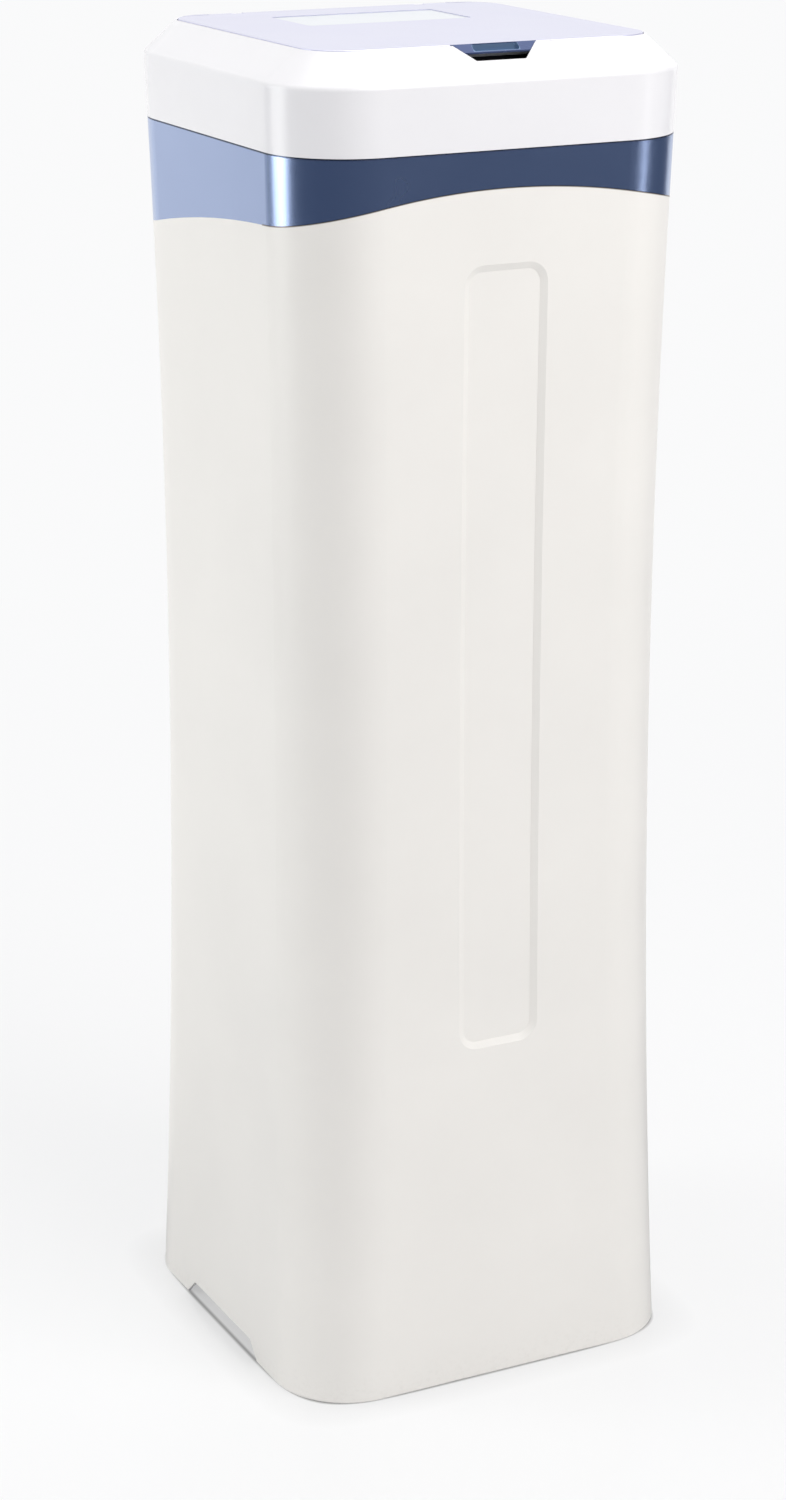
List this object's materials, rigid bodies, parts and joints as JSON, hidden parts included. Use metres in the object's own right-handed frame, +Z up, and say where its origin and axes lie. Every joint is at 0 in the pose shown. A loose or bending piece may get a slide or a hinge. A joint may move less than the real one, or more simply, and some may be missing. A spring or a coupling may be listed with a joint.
{
  "type": "activated carbon water filter",
  "caption": "Floor-standing cabinet water filter: waisted white column, blue trim band, bevelled cover with a hinged lid over a motor-driven valve on a carbon pressure vessel.",
  "frame": {"origin": "on the floor under the middle of the cabinet's base", "axes": "+Z up along the column, front face towards -Y, water and drain ports towards +Y, +X to the right seen from the front"},
  "size_m": [0.3648, 0.4103, 1.13],
  "materials": {
    "body_white": "satin",
    "cover_white": "gloss",
    "trim_blue": "satin",
    "lid_blue": "satin",
    "tray_black": "matte",
    "pull_blue": "satin",
    "label_blank": "satin",
    "hinge_steel": "satin",
    "screw_steel": "satin",
    "boot_black": "matte",
    "vessel_composite": "satin",
    "liner_plastic": "satin",
    "insert_plastic": "satin",
    "gravel": "matte",
    "carbon": "matte",
    "strainer_plastic": "satin",
    "pipe_plastic": "satin",
    "valve_black": "satin",
    "disc_ceramic": "polished",
    "seal_rubber": "matte",
    "gear_plastic": "satin",
    "motor_steel": "satin",
    "control_grey": "satin",
    "display_glass": "gloss",
    "board_green": "satin",
    "key_blue": "matte",
    "deck_grey": "satin",
    "knob_blue": "satin",
    "nut_plastic": "satin",
    "fitting_brass": "satin",
    "socket_plastic": "satin"
  },
  "bodies": {
    "cabinet": {"cabinet_body": "body_white", "trim_band": "trim_blue", "top_cover": "cover_white", "notch_tray": "tray_black", "hinge_corner_caps": "lid_blue", "lid_hinge_pins": "hinge_steel", "vessel_boot": "boot_black", "vessel_wrap": "vessel_composite", "vessel_liner": "liner_plastic", "neck_insert": "insert_plastic", "gravel_bed": "gravel", "carbon_bed": "carbon", "riser_tube": "pipe_plastic", "bottom_strainer": "strainer_plastic", "top_strainer": "strainer_plastic", "valve_body": "valve_black", "neck_o_ring": "seal_rubber", "fixed_disc": "disc_ceramic", "bonnet": "valve_black", "stem_o_ring": "seal_rubber", "bonnet_screws": "screw_steel", "gear_plate": "control_grey", "gear_plate_screws": "screw_steel", "motor_bracket": "motor_steel", "gear_motor": "motor_steel", "control_housing": "control_grey", "display_lens": "display_glass", "circuit_board": "board_green", "deck_plate": "deck_grey", "deck_screws": "screw_steel", "bypass_body": "valve_black", "port_o_rings": "seal_rubber", "port_clips": "screw_steel", "inlet_nipple": "fitting_brass", "outlet_nipple": "fitting_brass", "union_nuts": "nut_plastic", "drain_elbow": "valve_black", "power_socket": "socket_plastic"},
    "lid": {"lid_panel": "lid_blue", "lid_skirt": "lid_blue", "lid_label_plate": "label_blank", "lid_finger_pull": "pull_blue"},
    "valve_rotor": {"main_gear": "gear_plastic", "rotor_stem": "gear_plastic", "moving_disc": "disc_ceramic"},
    "pinion": {"drive_pinion": "gear_plastic"},
    "inlet_bypass": {"inlet_plug": "valve_black", "inlet_knob": "knob_blue"},
    "outlet_bypass": {"outlet_plug": "valve_black", "outlet_knob": "knob_blue"},
    "menu_key_cap": {"menu_key": "key_blue"},
    "up_key_cap": {"up_key": "key_blue"},
    "down_key_cap": {"down_key": "key_blue"},
    "backwash_key_cap": {"backwash_key": "key_blue"}
  },
  "joints": [
    {"name": "lid_hinge", "type": "hinge", "parent": "cabinet", "child": "lid", "pos_m": [0, 0.145, 1.1265], "axis": [-1, 0, 0], "range_deg": [0, 95]},
    {"name": "valve_turn", "type": "hinge", "parent": "cabinet", "child": "valve_rotor", "pos_m": [0, 0, 1.052], "axis": [0, 0, 1], "continuous": true},
    {"name": "pinion_turn", "type": "hinge", "parent": "cabinet", "child": "pinion", "pos_m": [0.05625, 0, 1.052], "axis": [0, 0, 1], "continuous": true},
    {"name": "inlet_knob_turn", "type": "hinge", "parent": "cabinet", "child": "inlet_bypass", "pos_m": [0.035, 0.16989, 0.985], "axis": [0, 0, 1], "range_deg": [0, 90]},
    {"name": "outlet_knob_turn", "type": "hinge", "parent": "cabinet", "child": "outlet_bypass", "pos_m": [-0.035, 0.16989, 0.985], "axis": [0, 0, 1], "range_deg": [0, 90]},
    {"name": "menu_key_press", "type": "slide", "parent": "cabinet", "child": "menu_key_cap", "axis": [0, 0, -1], "range_m": [0, 0.001], "stiffness_N_per_m": 400},
    {"name": "up_key_press", "type": "slide", "parent": "cabinet", "child": "up_key_cap", "axis": [0, 0, -1], "range_m": [0, 0.001], "stiffness_N_per_m": 400},
    {"name": "down_key_press", "type": "slide", "parent": "cabinet", "child": "down_key_cap", "axis": [0, 0, -1], "range_m": [0, 0.001], "stiffness_N_per_m": 400},
    {"name": "backwash_key_press", "type": "slide", "parent": "cabinet", "child": "backwash_key_cap", "axis": [0, 0, -1], "range_m": [0, 0.001], "stiffness_N_per_m": 400}
  ],
  "couplings": [
    {"joint": "pinion_turn", "follows": "valve_turn", "ratio": -4}
  ]
}
